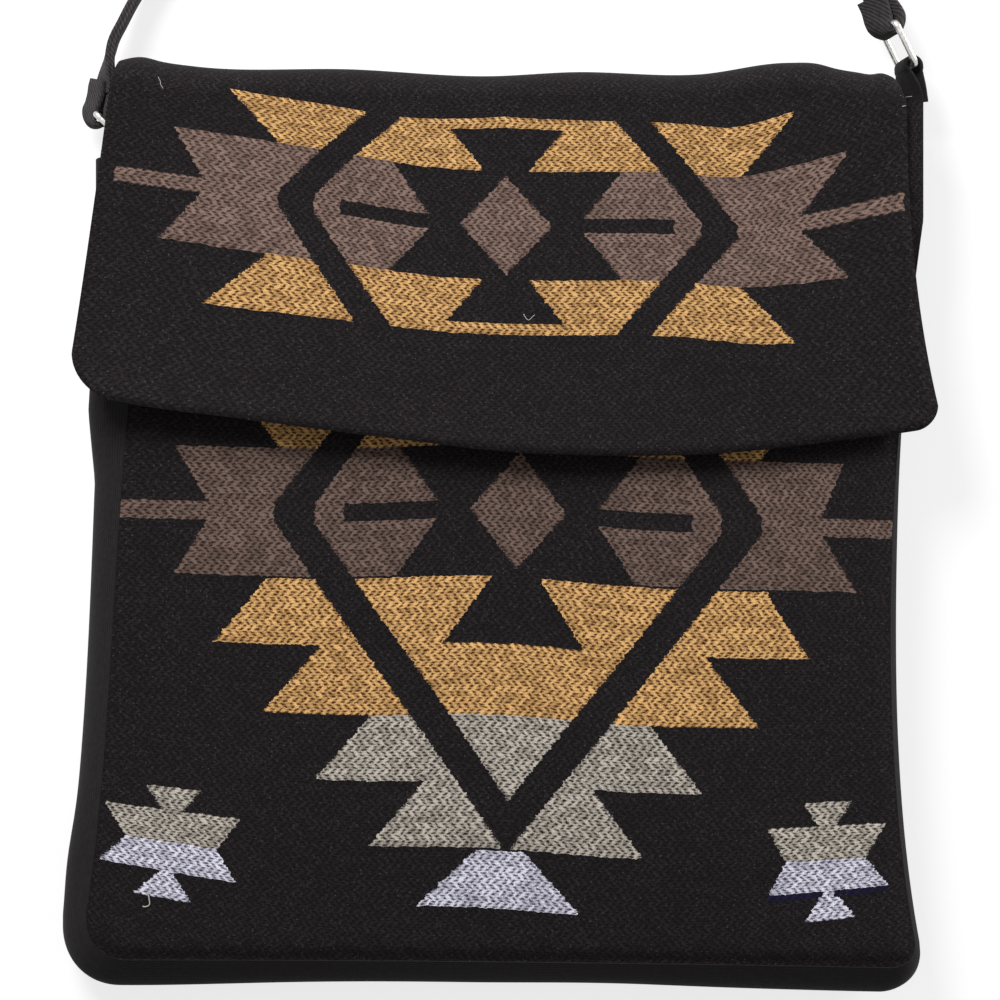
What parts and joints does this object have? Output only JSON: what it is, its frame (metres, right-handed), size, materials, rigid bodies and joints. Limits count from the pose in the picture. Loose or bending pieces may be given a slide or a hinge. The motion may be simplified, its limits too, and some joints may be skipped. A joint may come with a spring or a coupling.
{
  "type": "flap shoulder bag",
  "caption": "Flat shoulder bag of patterned woven cloth with a fold-over flap, a side gusset, wire rings on cloth tabs and a narrow shoulder strap.",
  "frame": {"origin": "on the back panel's resting face, half way up the sewn panel", "axes": "+X to the right of someone who faces the front panel, +Y up the bag to the flap's fold, +Z out through the front panel"},
  "size_m": [0.2804, 0.5204, 0.0361],
  "materials": {
    "woven_cloth": "matte weave",
    "plain_cloth": "matte weave",
    "lining": "matte",
    "strap_tape": "ribbed",
    "ring_metal": "dull nickel"
  },
  "bodies": {
    "bag": {"back_and_flap": "woven_cloth", "back_and_flap_lining": "lining", "front_panel": "woven_cloth", "front_lining": "lining", "gusset": "plain_cloth", "gusset_lining": "lining", "tab_left": "plain_cloth", "tab_right": "plain_cloth", "strap": "strap_tape"},
    "left_ring": {"ring_left": "ring_metal", "strap_end_left": "strap_tape"},
    "right_ring": {"ring_right": "ring_metal", "strap_end_right": "strap_tape"}
  },
  "joints": [
    {"name": "left_ring_swing", "type": "hinge", "parent": "bag", "child": "left_ring", "pos_m": [-0.11733, 0.12579, 0.011], "axis": [0, 0, 1], "range_deg": [0, 40]},
    {"name": "right_ring_swing", "type": "hinge", "parent": "bag", "child": "right_ring", "pos_m": [0.13262, 0.15019, 0.011], "axis": [0.3512, 0.1713, 0.9205], "range_deg": [0, 20]}
  ]
}
